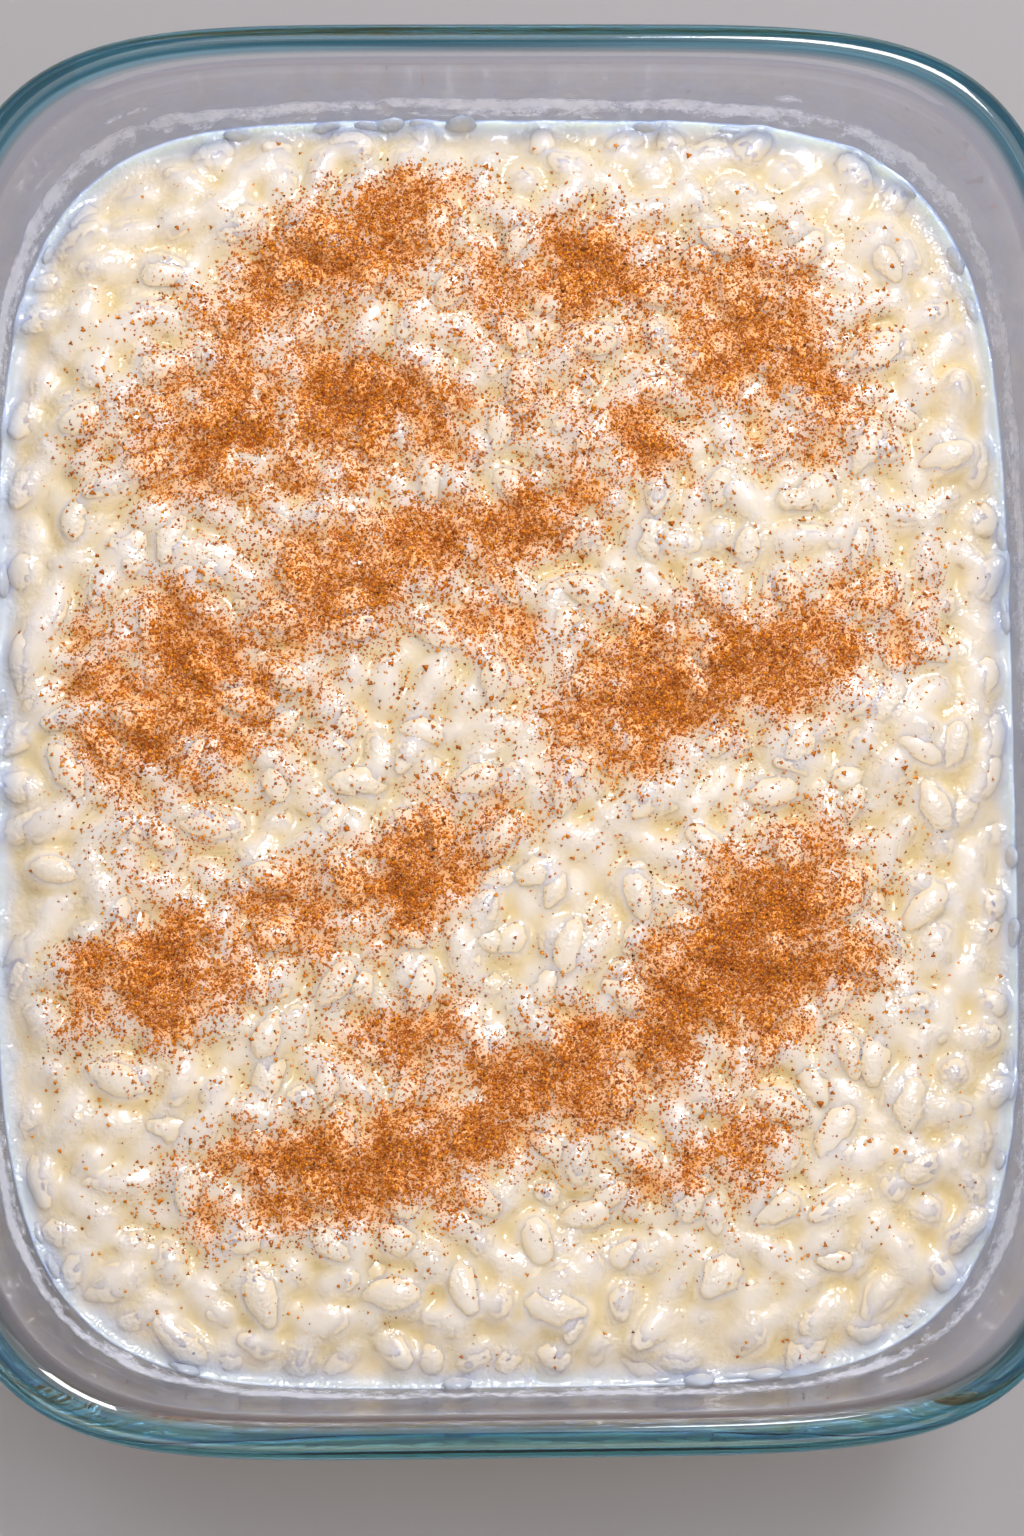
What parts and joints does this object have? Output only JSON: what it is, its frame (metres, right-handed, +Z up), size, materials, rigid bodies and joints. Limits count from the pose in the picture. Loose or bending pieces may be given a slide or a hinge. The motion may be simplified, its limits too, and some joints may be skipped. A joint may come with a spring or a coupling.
{
  "type": "rice pudding",
  "caption": "Rectangular clear glass dish with round corners and a thick rim, filled about two thirds with creamy rice pudding dusted with cinnamon.",
  "frame": {"origin": "middle of the dish's flat base, on the surface that it stands on", "axes": "+Z up, +Y along the dish's length, +X across it"},
  "size_m": [0.166, 0.204, 0.058],
  "materials": {
    "dish_glass": "clear pressed glass with a faint green-blue tint, smooth and polished",
    "rice_pudding": "cooked rice grains in thick milk, cream coloured, wet and glossy",
    "cinnamon": "ground cinnamon, dry orange-brown powder",
    "milk_film": "thin dried milk left on the glass above the pudding"
  },
  "bodies": {
    "root": {"dish": "dish_glass", "pudding": "rice_pudding"}
  },
  "joints": []
}
